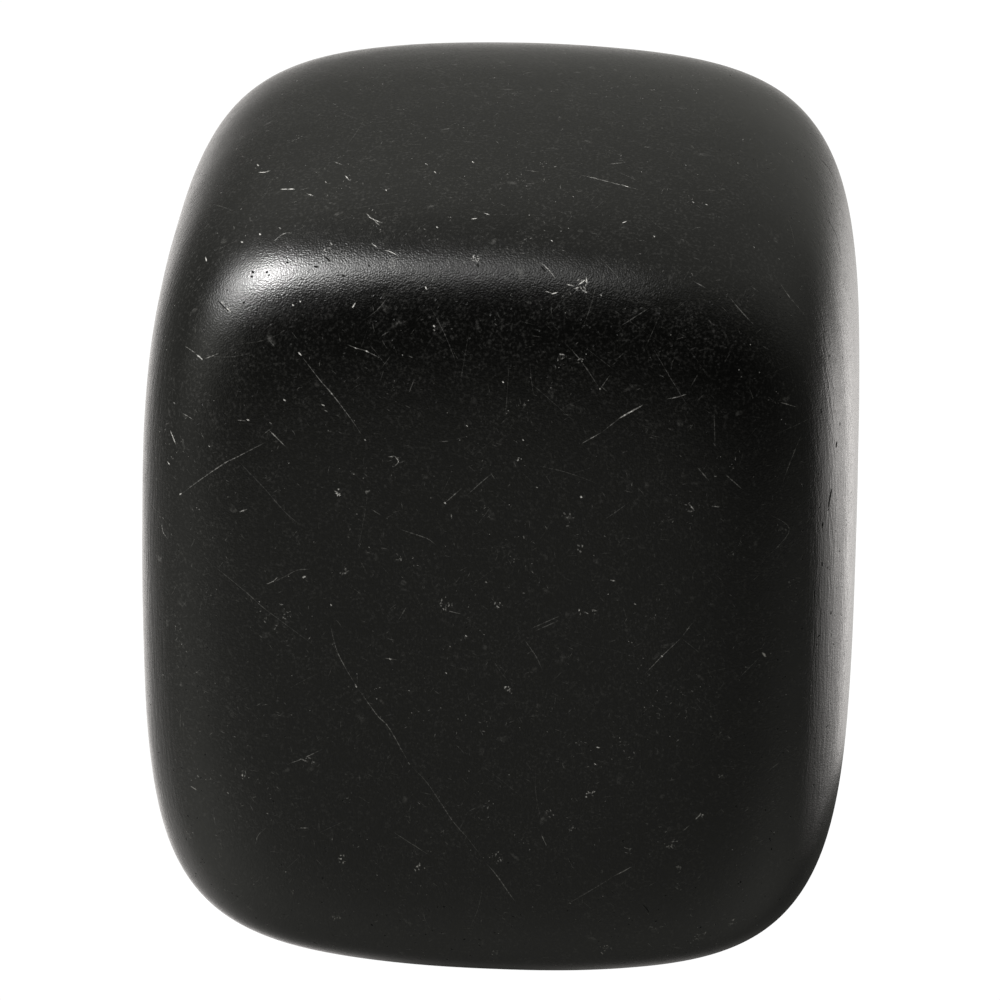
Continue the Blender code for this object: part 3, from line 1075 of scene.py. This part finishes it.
class Wiring:
    """Adds nodes to one node tree and joins them."""

    # Where a Mix node keeps its first term, its second one and its result, by its kind.
    MIX_SOCKETS = {"RGBA": (6, 7, 2), "VECTOR": (4, 5, 1)}

    def __init__(self, tree: bpy.types.NodeTree) -> None:
        """Takes the tree over, as it is."""
        self.tree = tree

    def feed(self, socket: Socket, value: Feed) -> None:
        """Joins a socket to another one, or sets it to a plain value."""
        if isinstance(value, Socket):
            self.tree.links.new(value, socket)
        else:
            socket.default_value = value

    def node(
        self, kind: str, feeds: dict[str, Feed] | None = None, **settings: object
    ) -> bpy.types.Node:
        """Adds one node.

        Args:
            kind: Blender's name of the node's type.
            feeds: what goes into its inputs, by their names.
            settings: its own properties.

        Returns:
            The new node.
        """
        made = self.tree.nodes.new(kind)
        for name, value in settings.items():
            setattr(made, name, value)
        for name, value in (feeds or {}).items():
            self.feed(made.inputs[name], value)
        return made

    def math(self, operation: str, *terms: Feed, clamp: bool = False) -> Socket:
        """Adds one sum, product or other operation on numbers, and returns its result."""
        made = self.node("ShaderNodeMath", operation=operation, use_clamp=clamp)
        for socket, term in zip(made.inputs, terms):
            self.feed(socket, term)
        return made.outputs[0]

    def vector(self, operation: str, *terms: Feed, result: str = "Vector") -> Socket:
        """Adds one operation on vectors, and returns its result."""
        made = self.node("ShaderNodeVectorMath", operation=operation)
        for socket, term in zip(made.inputs, terms):
            self.feed(socket, term)
        return made.outputs[result]

    def scaled(self, vector: Feed, factor: Feed) -> Socket:
        """Adds a vector made so many times as long, and returns it."""
        made = self.node("ShaderNodeVectorMath", {"Scale": factor}, operation="SCALE")
        self.feed(made.inputs[0], vector)
        return made.outputs[0]

    def mix(self, kind: str, factor: Feed, first: Feed, second: Feed) -> Socket:
        """Adds a mix of two colours or vectors.

        Args:
            kind: RGBA for colours or VECTOR for vectors.
            factor: the second one's share.
            first: what there is where the factor is 0.
            second: what there is where the factor is 1.

        Returns:
            The mixed colour or vector.
        """
        made = self.node("ShaderNodeMix", data_type=kind)
        first_socket, second_socket, result = self.MIX_SOCKETS[kind]
        self.feed(made.inputs[0], factor)
        self.feed(made.inputs[first_socket], first)
        self.feed(made.inputs[second_socket], second)
        return made.outputs[result]

    def ramp(self, value: Feed, reach: Span, made: Span = (0.0, 1.0)) -> Socket:
        """Turns a value that goes over one span smoothly into one that goes over another."""
        low, high = reach
        start, end = made
        feeds = {"Value": value, "From Min": low, "From Max": high, "To Min": start, "To Max": end}
        return self.node("ShaderNodeMapRange", feeds, interpolation_type="SMOOTHSTEP").outputs[0]

    def noise(self, place: Feed, noise: Noise) -> Socket:
        """Adds soft noise that averages one half, at a place in millimetres."""
        feeds = {
            "Vector": place, "Scale": noise.scale, "Detail": noise.detail, "Roughness": noise.roughness
        }
        return self.node("ShaderNodeTexNoise", feeds).outputs[0]

    def group(self, tree: bpy.types.NodeTree, feeds: dict[str, Feed]) -> bpy.types.Node:
        """Adds a shared node group with its own values."""
        made = self.tree.nodes.new("ShaderNodeGroup")
        made.node_tree = tree
        for name, value in feeds.items():
            self.feed(made.inputs[name], value)
        return made


class SharedGroup:
    """A node group that is built once, with named inputs and outputs."""

    def __init__(self, name: str, inputs: dict[str, str], outputs: dict[str, str]) -> None:
        """Makes the empty group.

        Args:
            name: what the group is called.
            inputs: kinds of the inputs, such as Float or Vector, by their names.
            outputs: kinds of the outputs, by their names.
        """
        self.tree = bpy.data.node_groups.new(name, "ShaderNodeTree")
        for socket, kind in inputs.items():
            self.tree.interface.new_socket(socket, in_out="INPUT", socket_type="NodeSocket" + kind)
        for socket, kind in outputs.items():
            self.tree.interface.new_socket(socket, in_out="OUTPUT", socket_type="NodeSocket" + kind)
        self.wiring = Wiring(self.tree)
        self.inside = self.tree.nodes.new("NodeGroupInput").outputs
        self.outside = self.tree.nodes.new("NodeGroupOutput").inputs


def mark_group() -> bpy.types.NodeTree:
    """Draws one mark from the three numbers that a facet's corners carry.

    With a across and b along, the mark is tone (1 - a^2 - b^2), and nothing where that
    sum is below 0.

    Returns:
        The group: Mark in, Shown out, which is below 0 where the mark is sunken.
    """
    group = SharedGroup("worn mark", {"Mark": "Vector"}, {"Shown": "Float"})
    w = group.wiring
    parts = w.node("ShaderNodeSeparateXYZ", {"Vector": group.inside["Mark"]}).outputs
    square = w.math("MULTIPLY_ADD", parts[0], parts[0], w.math("MULTIPLY", parts[1], parts[1]))
    body = w.math("SUBTRACT", 1.0, square, clamp=True)
    w.feed(group.outside["Shown"], w.math("MULTIPLY", body, parts[2]))
    return group.tree


def light_group() -> bpy.types.NodeTree:
    """One soft light far away: e^(look . pull + level).

    Returns:
        The group: Look, Pull and Level in, Light out.
    """
    inputs = {"Look": "Vector", "Pull": "Vector", "Level": "Float"}
    group = SharedGroup("soft light", inputs, {"Light": "Float"})
    w = group.wiring
    look, pull, level = (group.inside[name] for name in inputs)
    nearness = w.vector("DOT_PRODUCT", look, pull, result="Value")
    w.feed(group.outside["Light"], w.math("EXPONENT", w.math("ADD", nearness, level)))
    return group.tree


@dataclass(frozen=True)
class TumbledSkin:
    """The satin skin of the rock, with powder in its scratches. Lengths are in millimetres.

    Attributes:
        rock: colour of the bare rock, which is nearly black and a little warm.
        powder: colour of crushed rock in scratches and specks.
        roughness: of the bare skin, from its glossiest patches to its dullest.
        refraction: index of refraction of the skin.
        cover: how much of the skin the strongest mark's powder hides, where the crumbs are
            thin and where they are thick.
        haze: how much powder the skin's cloudy film holds, where it is thin and thick.
        crumbs: how the powder is broken up into crumbs.
        clouds: how film and gloss change over the stone.
        grain: the skin's finest wrinkles.
        grain_depth: how deep the wrinkles are.
        strokes: the strokes of wear on the left and right.
        stroke_squeeze: how much less they change upwards than across, which makes them upright.
        stroke_reach: how far to the left or right they begin, and where they are deepest.
        stroke_depth: how deep they are there.
        scratch_depth: how deep a strong scratch is.
        pit_depth: how deep a strong pit is.
        pit_dull: the depth, as a share of the strongest pit's, from which a pit is dull.
        powder_dulling: how much rougher full powder is than bare skin.
        pit_dulling: how much rougher a dull pit is.
    """

    rock: Point = (0.0018, 0.0018, 0.0016)
    powder: Point = (0.62, 0.61, 0.58)
    roughness: Span = (0.175, 0.215)
    refraction: float = 1.5
    cover: Span = (0.42, 1.98)
    haze: Span = (0.01575, 0.045)
    crumbs: Noise = Noise(10.0, 1.0, 0.6)
    clouds: Noise = Noise(1.1, 2.0, 0.65)
    grain: Noise = Noise(18.0)
    grain_depth: float = 0.006
    strokes: Noise = Noise(7.0, 1.0, 0.6)
    stroke_squeeze: float = 0.18
    stroke_reach: Span = (9.5, 11.5)
    stroke_depth: float = 0.017
    scratch_depth: float = 0.003
    pit_depth: float = 0.02
    pit_dull: float = 0.25
    powder_dulling: float = 0.5
    pit_dulling: float = 0.8

    # The spans of noise over which crumbs thicken in a mark and in the film, over which the
    # film itself thickens, and over which the gloss fades.
    CRUMBS_IN_MARKS = (0.35, 0.65)
    CRUMBS_IN_FILM = (0.35, 0.8)
    CLOUDS_OF_FILM = (0.3, 0.75)
    CLOUDS_OF_GLOSS = (0.3, 0.7)

    def marks(self, w: Wiring, names: list[str]) -> tuple[Feed, Feed]:
        """Draws every layer of marks.

        Args:
            w: the material's wiring.
            names: names of the corner attributes that carry the marks.

        Returns:
            The powder of all pale marks together, and the lowest of the sunken ones.
        """
        drawing = mark_group()
        powder: Feed = 0.0
        lowest: Feed = 0.0
        for name in names:
            carried = w.node("ShaderNodeAttribute", attribute_type="GEOMETRY", attribute_name=name)
            shown = w.group(drawing, {"Mark": carried.outputs["Vector"]}).outputs["Shown"]
            powder = w.math("ADD", powder, w.math("MAXIMUM", shown, 0.0))
            lowest = w.math("MINIMUM", lowest, shown)
        return powder, lowest

    def hiding(self, w: Wiring, place: Socket, clouds: Socket, powder: Feed) -> Socket:
        """How much of the rock is hidden by powder in marks and by the cloudy film."""
        crumbs = w.noise(place, self.crumbs)
        loose = w.math("MULTIPLY", powder, w.ramp(crumbs, self.CRUMBS_IN_MARKS, self.cover))
        dust = w.ramp(crumbs, self.CRUMBS_IN_FILM)
        patchy = w.ramp(clouds, self.CLOUDS_OF_FILM, self.haze)
        film = w.math("MULTIPLY", patchy, w.math("MULTIPLY", dust, dust))
        return w.math("ADD", loose, film, clamp=True)

    def dullness(self, w: Wiring, clouds: Socket, hidden: Socket, lowest: Feed) -> Socket:
        """Roughness, which changes from patch to patch and is higher in powder and pits."""
        bare = w.ramp(clouds, self.CLOUDS_OF_GLOSS, self.roughness)
        pit = w.math("MULTIPLY", lowest, -1 / self.pit_dull, clamp=True)
        pitted = w.math("MULTIPLY_ADD", pit, self.pit_dulling, bare)
        return w.math("MINIMUM", w.math("MULTIPLY_ADD", hidden, self.powder_dulling, pitted), 1.0)

    def relief(self, w: Wiring, place: Socket, powder: Feed, lowest: Feed) -> Socket:
        """Normals of the wrinkles, the strokes, the scratches and the pits together."""
        grain = w.math("MULTIPLY", w.noise(place, self.grain), self.grain_depth)
        beside = w.node("ShaderNodeSeparateXYZ", {"Vector": w.vector("ABSOLUTE", place)}).outputs[0]
        deepening = w.ramp(beside, self.stroke_reach, (0.0, self.stroke_depth))
        drawn_out = w.vector("MULTIPLY", place, (1.0, 1.0, self.stroke_squeeze))
        strokes = w.math("MULTIPLY", w.noise(drawn_out, self.strokes), deepening)
        height = w.math("ADD", grain, strokes)
        height = w.math("MULTIPLY_ADD", powder, -self.scratch_depth, height)
        height = w.math("MULTIPLY_ADD", lowest, self.pit_depth, height)
        feeds = {"Strength": 1.0, "Distance": MM, "Height": height}
        return w.node("ShaderNodeBump", feeds).outputs["Normal"]

    def material(self, mark_names: list[str]) -> bpy.types.Material:
        """Builds the material.

        Args:
            mark_names: names of the corner attributes that carry the marks.

        Returns:
            The material, with everything measured in millimetres from the origin.
        """
        made = bpy.data.materials.new("tumbled_shungite_skin")
        made.use_nodes = True
        made.diffuse_color = (*self.rock, 1.0)
        w = Wiring(made.node_tree)
        shader = made.node_tree.nodes["Principled BSDF"].inputs
        place = w.scaled(w.node("ShaderNodeTexCoord").outputs["Object"], 1 / MM)
        clouds = w.noise(place, self.clouds)
        powder, lowest = self.marks(w, mark_names)
        hidden = self.hiding(w, place, clouds, powder)
        w.feed(shader["Base Color"], w.mix("RGBA", hidden, (*self.rock, 1.0), (*self.powder, 1.0)))
        w.feed(shader["Roughness"], self.dullness(w, clouds, hidden, lowest))
        w.feed(shader["Normal"], self.relief(w, place, powder, lowest))
        shader["IOR"].default_value = self.refraction
        return made


@dataclass
class TumbledStone:
    """The whole stone: its fine surface and all its marks.

    Attributes:
        form: its closed form.
        grid: the grid that the surface is laid on.
        camera: where the marks of the photograph are seen from.
        skin: its finish.
        scatters: the kinds of mark that tumbling left all over.
        seed: start of the random draws.
    """

    form: StoneForm
    grid: SkinGrid
    camera: PhotoCamera
    skin: TumbledSkin = TumbledSkin()
    scatters: tuple[ScatterOfMarks, ...] = (
        # Long hairlines, short hairlines, knots of crumbs, single dots, smudges and pits.
        ScatterOfMarks(1500, (0.4, 3.0), (0.014, 0.024), tone=0.08, fading=3.0, bend=0.12),
        ScatterOfMarks(12000, (0.1, 0.4), (0.018, 0.03), tone=0.11, bend=0.8),
        ScatterOfMarks(6000, (0.03, 0.14), (0.022, 0.04), tone=0.26, fading=3.0, knots=420),
        ScatterOfMarks(8000, (0.03, 0.05), (0.03, 0.05), tone=0.5, fading=9.0),
        ScatterOfMarks(900, (0.2, 0.6), (0.12, 0.25), tone=0.045, fading=1.5),
        ScatterOfMarks(
            5000, (0.04, 0.12), (0.04, 0.075), tone=1.0, fading=4.0, wear=Wear.SUNKEN, edge_share=0.4
        ),
    )
    seed: int = 7

    def build(self) -> bpy.types.Object:
        """Builds the surface, lays the marks on it and dresses it.

        Returns:
            The finished piece, at the origin.
        """
        facets, placed, carried = self.work_out()
        piece = bpy.data.objects.new("tumbled_stone", self.mesh(placed, facets, carried))
        bpy.context.scene.collection.objects.link(piece)
        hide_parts(STONE_NODE)
        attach(piece, "root")
        return piece

    def work_out(self) -> tuple[np.ndarray, np.ndarray, np.ndarray]:
        """Works out the surface and which marks cross each of its facets.

        The surface fills the solid's box, so it is moved from the stone's centre to the
        frame's origin, and the photograph's marks are cast from the camera moved back.

        Returns:
            The facets, their points in the frame, and what their corners carry.
        """
        chance = np.random.default_rng(self.seed)
        directions, facets = self.grid.lay_out()
        surface = directions * self.form.reach(directions)[:, None]
        sunk = surface - self.form.outward(surface) * self.form.swells(surface, chance)[:, None]
        sunk[:, 2] = np.maximum(sunk[:, 2], surface[:, 2].min() + self.form.rest_wear)
        low, high = sunk.min(axis=0), sunk.max(axis=0)
        cad = [np.array(corner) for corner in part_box(STONE_NODE)]
        placed = cad[0] + (sunk - low) * ((cad[1] - cad[0]) / (high - low))
        shift = (low + high) / 2 - (cad[0] + cad[1]) / 2

        trail = SeenMarks(SEEN_MARKS, SEEN_KNOTS, self.camera, self.form, shift).lay(chance)
        seen = trail.owners.max() + 1
        for scatter in self.scatters:
            trail = trail.followed_by(scatter.walk(self.form, chance))
        LOG.info("tumbled_stone: %d facets, %d marks", len(facets), trail.owners.max() + 1)
        return facets, placed, MarkedFacets(self.grid).carry(trail, surface[facets], seen)

    def mesh(self, placed: np.ndarray, facets: np.ndarray, carried: np.ndarray) -> bpy.types.Mesh:
        """Makes the mesh, with its flat layout, its marks and its material.

        Args:
            placed: the points.
            facets: four point numbers for each facet.
            carried: the layers of marks, as MarkedFacets gives them.

        Returns:
            The mesh.
        """
        mesh = bpy.data.meshes.new("tumbled_stone")
        mesh.from_pydata(placed, [], facets)
        mesh.shade_smooth()
        sheet = mesh.uv_layers.new(name="OFBake")
        sheet.uv.foreach_set("vector", self.grid.flat_layout().astype(np.float32).ravel())
        names = [f"marks_{number + 1}" for number in range(len(carried))]
        for name, layer in zip(names, carried):
            attribute = mesh.attributes.new(name, "FLOAT_VECTOR", "CORNER")
            attribute.data.foreach_set("vector", layer.ravel())
        mesh.materials.append(self.skin.material(names))
        mesh.update()
        return mesh


@dataclass(frozen=True)
class SoftLight:
    """One soft light of the studio, far from the stone.

    In a direction whose angle to its middle is t, its brightness is
    strength e^(sharpness (cos t - 1)).

    Attributes:
        name: what it is.
        azimuth: degrees round from behind the stone, 90 on its right.
        elevation: degrees above the horizon.
        sharpness: how small it is: at 20 it has faded to a third 19 degrees off.
        strength: its brightness at its middle, where white is 1.
    """

    name: str
    azimuth: float
    elevation: float
    sharpness: float
    strength: float

    @property
    def pull(self) -> Point:
        """The way to its middle, as long as it is sharp."""
        return tuple(towards(self.azimuth, self.elevation) * self.sharpness)

    @property
    def level(self) -> float:
        """The part of the exponent that is the same all round: ln(strength) - sharpness."""
        return math.log(self.strength) - self.sharpness


@dataclass(frozen=True)
class LightBank:
    """Soft lights of one colour.

    Attributes:
        name: what they are.
        tint: their colour.
        lights: the lights.
    """

    name: str
    tint: Point
    lights: tuple[SoftLight, ...]


@dataclass(frozen=True)
class PaintedShadow:
    """A painted shadow: a black disc on the floor that stands in for its shade, seen only
    where the stone's lower edge mirrors it.

    Attributes:
        name: what it is.
        middle: its middle on the floor.
        reach: from where to where it fades.
    """

    name: str
    middle: Span
    reach: Span


@dataclass
class Studio:
    """A plain studio: soft lights all round and a pale floor, with painted shade and painted
    shadows under the stone.

    Attributes:
        banks: the soft lights, by colour.
        backdrop: how bright the camera sees the room behind.
        floor_radius: of the floor.
        floor_drop: how far the floor lies under the rest spot.
        floor_white: how bright the floor is.
        painted_shade: how much darker the floor's glow is painted right under the
            stone, as painted shade.
        painted_shade_radius: where that painted shade has faded out.
        shadows: painted shadows, black discs for the shadow that falls away from the
            window and the one round the rest spot.
        shadow_lift: how far each of them lies over the one before, and the first over the floor.
        painted_shadow_glow: how brightly the painted shadows glow, as painted light of the
            shaded floor.
        painted_shadow_tint: colour of that painted glow.
        disc_sides: how many straight sides the floor and the shadows have.
    """

    banks: tuple[LightBank, ...] = (
        LightBank("window", (1.0, 0.996, 0.985), (
            SoftLight("window, middle", -130, 65, 200, 14.0),
            SoftLight("window, core", -107, 56, 160, 46.0),
            SoftLight("window, lower left", -100, 45, 42, 12.0),
            SoftLight("window, front end", -165, 70, 120, 2.7),
        )),
        LightBank("sweep", (1.0, 0.965, 0.94), (
            SoftLight("white sweep behind", -10, -22, 19, 1.35),
            SoftLight("white sweep, right", 21, -20, 140, 2.1),
            SoftLight("white sweep, far right", 44, -16, 70, 2.6),
            SoftLight("white sweep, corner", 66, -18, 50, 1.1),
            SoftLight("white sweep, left", -51, -38, 20, 0.42),
        )),
        LightBank("room", (1.0, 1.0, 0.92), (
            SoftLight("window, foot", -104, 18, 15, 0.7),
            SoftLight("room behind", 13, 7, 12, 0.21),
            SoftLight("room, left", -60, 0, 8, 0.12),
            SoftLight("ceiling, back", -33, 54, 6.5, 0.5),
            SoftLight("back right", 67, 41, 5.5, 0.4),
            SoftLight("ceiling, right", 120, 72, 14, 0.22),
            SoftLight("table, front right", 117, -49, 4.5, 0.34),
            SoftLight("table in front", -171, -16, 9.5, 0.19),
            SoftLight("table, left", -112, -39, 5.5, 0.58),
        )),
    )
    backdrop: float = 1.05
    floor_radius: float = 1.5
    floor_drop: float = 0.05 * MM
    floor_white: float = 1.05
    # Painted shade: the floor's glow is painted darker under the stone.
    painted_shade: float = 0.1
    painted_shade_radius: float = 11.0 * MM
    # Painted shadows: black discs that the stone's lower edge mirrors where shade falls.
    shadows: tuple[PaintedShadow, ...] = (
        PaintedShadow("cast_shadow", (8.0 * MM, 3.5 * MM), (8.5 * MM, 12.8 * MM)),
        PaintedShadow("contact_shadow", (0.0, -1.5 * MM), (6.0 * MM, 8.5 * MM)),
    )
    shadow_lift: float = 0.0125 * MM
    # Dim painted glow of the painted shadows, and its colour.
    painted_shadow_glow: float = 0.05
    painted_shadow_tint: Point = (1.0, 1.0, 0.92)
    disc_sides: int = 96

    def build(self) -> None:
        """Lights the room, lays its floor and lays the painted shadows."""
        bpy.context.scene.view_settings.view_transform = "Standard"
        self.light_room()
        self.lay_floor()
        for step, shadow in enumerate(self.shadows, start=1):
            self.lay_painted_shadow(shadow, self.shadow_lift * step)

    def light_room(self) -> None:
        """Makes the world the sum of the soft lights, and plain white to the camera."""
        world = bpy.data.worlds.new("studio")
        bpy.context.scene.world = world
        world.use_nodes = True
        w = Wiring(world.node_tree)
        look = w.node("ShaderNodeTexCoord").outputs["Generated"]
        shared = light_group()
        room: Feed = (0.0, 0.0, 0.0)
        for bank in self.banks:
            total: Feed = 0.0
            for light in bank.lights:
                placed = w.group(shared, {"Look": look, "Pull": light.pull, "Level": light.level})
                placed.label = light.name
                total = w.math("ADD", total, placed.outputs["Light"])
            room = w.vector("ADD", room, w.scaled(bank.tint, total))
        seen = w.node("ShaderNodeLightPath").outputs["Is Camera Ray"]
        shown = w.mix("VECTOR", seen, room, (self.backdrop,) * 3)
        w.feed(world.node_tree.nodes["Background"].inputs["Color"], shown)

    def disc(self, name: str, radius: float) -> bpy.types.Object:
        """A flat round piece of the stage at the floor's height.

        Args:
            name: what it is called.
            radius: how large it is.

        Returns:
            The disc, with a new material of the same name that gives off no light.
        """
        angles = np.linspace(0, 2 * math.pi, self.disc_sides, endpoint=False)
        ring = np.column_stack([np.cos(angles), np.sin(angles), np.zeros(len(angles))]) * radius
        ring[:, 2] = -self.floor_drop
        mesh = bpy.data.meshes.new(name)
        mesh.from_pydata(ring, [], [tuple(range(len(ring)))])
        made = bpy.data.objects.new(name, mesh)
        bpy.context.scene.collection.objects.link(made)
        material = bpy.data.materials.new(name)
        material.use_nodes = True
        material.cycles.emission_sampling = "NONE"
        shader = material.node_tree.nodes["Principled BSDF"]
        shader.inputs["Base Color"].default_value = (0.0, 0.0, 0.0, 1.0)
        shader.inputs["Specular IOR Level"].default_value = 0.0
        mesh.materials.append(material)
        LOG.info("%s: radius %.3f m", name, radius)
        return made

    def lay_floor(self) -> None:
        """Lays a plain pale floor that only the camera sees, its glow darkened under the stone as painted
        shade.
        """
        floor = self.disc("floor", self.floor_radius)
        floor.visible_glossy = floor.visible_diffuse = floor.visible_shadow = False
        tree = floor.data.materials[0].node_tree
        w = Wiring(tree)
        shader = tree.nodes["Principled BSDF"]
        shader.inputs["Emission Color"].default_value = (1.0, 1.0, 1.0, 1.0)
        away = w.vector("LENGTH", w.node("ShaderNodeTexCoord").outputs["Object"], result="Value")
        # Painted shade: the floor's glow is dimmed towards the middle, where the stone stands.
        shades = (self.floor_white - self.painted_shade, self.floor_white)
        bright = w.ramp(away, (0.0, self.painted_shade_radius), shades)
        w.feed(shader.inputs["Emission Strength"], bright)

    def lay_painted_shadow(self, shadow: PaintedShadow, height: float) -> None:
        """Lays one painted shadow on the floor: a black disc with a dim painted glow.

        Args:
            shadow: which one.
            height: how far over the floor it lies.
        """
        made = self.disc(shadow.name, shadow.reach[1])
        made.location = (*shadow.middle, height)
        made.visible_camera = False
        tree = made.data.materials[0].node_tree
        w = Wiring(tree)
        shader = tree.nodes["Principled BSDF"]
        # Painted shadow: a dark sheet with a dim painted glow, fading out towards its rim.
        shader.inputs["Emission Color"].default_value = (*self.painted_shadow_tint, 1.0)
        shader.inputs["Emission Strength"].default_value = self.painted_shadow_glow
        away = w.vector("LENGTH", w.node("ShaderNodeTexCoord").outputs["Object"], result="Value")
        w.feed(shader.inputs["Alpha"], w.ramp(away, shadow.reach, (1.0, 0.0)))


def note_sizes() -> None:
    """Brings the view layer up to date."""
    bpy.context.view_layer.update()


def main() -> None:
    """Builds the camera, the studio and the stone, in that order."""
    logging.basicConfig(level=logging.INFO, format="%(name)s: %(message)s")
    camera = PhotoCamera()
    camera.build()
    Studio().build()
    TumbledStone(StoneForm(), SkinGrid(), camera).build()
    note_sizes()


if __name__ == "__main__":
    main()
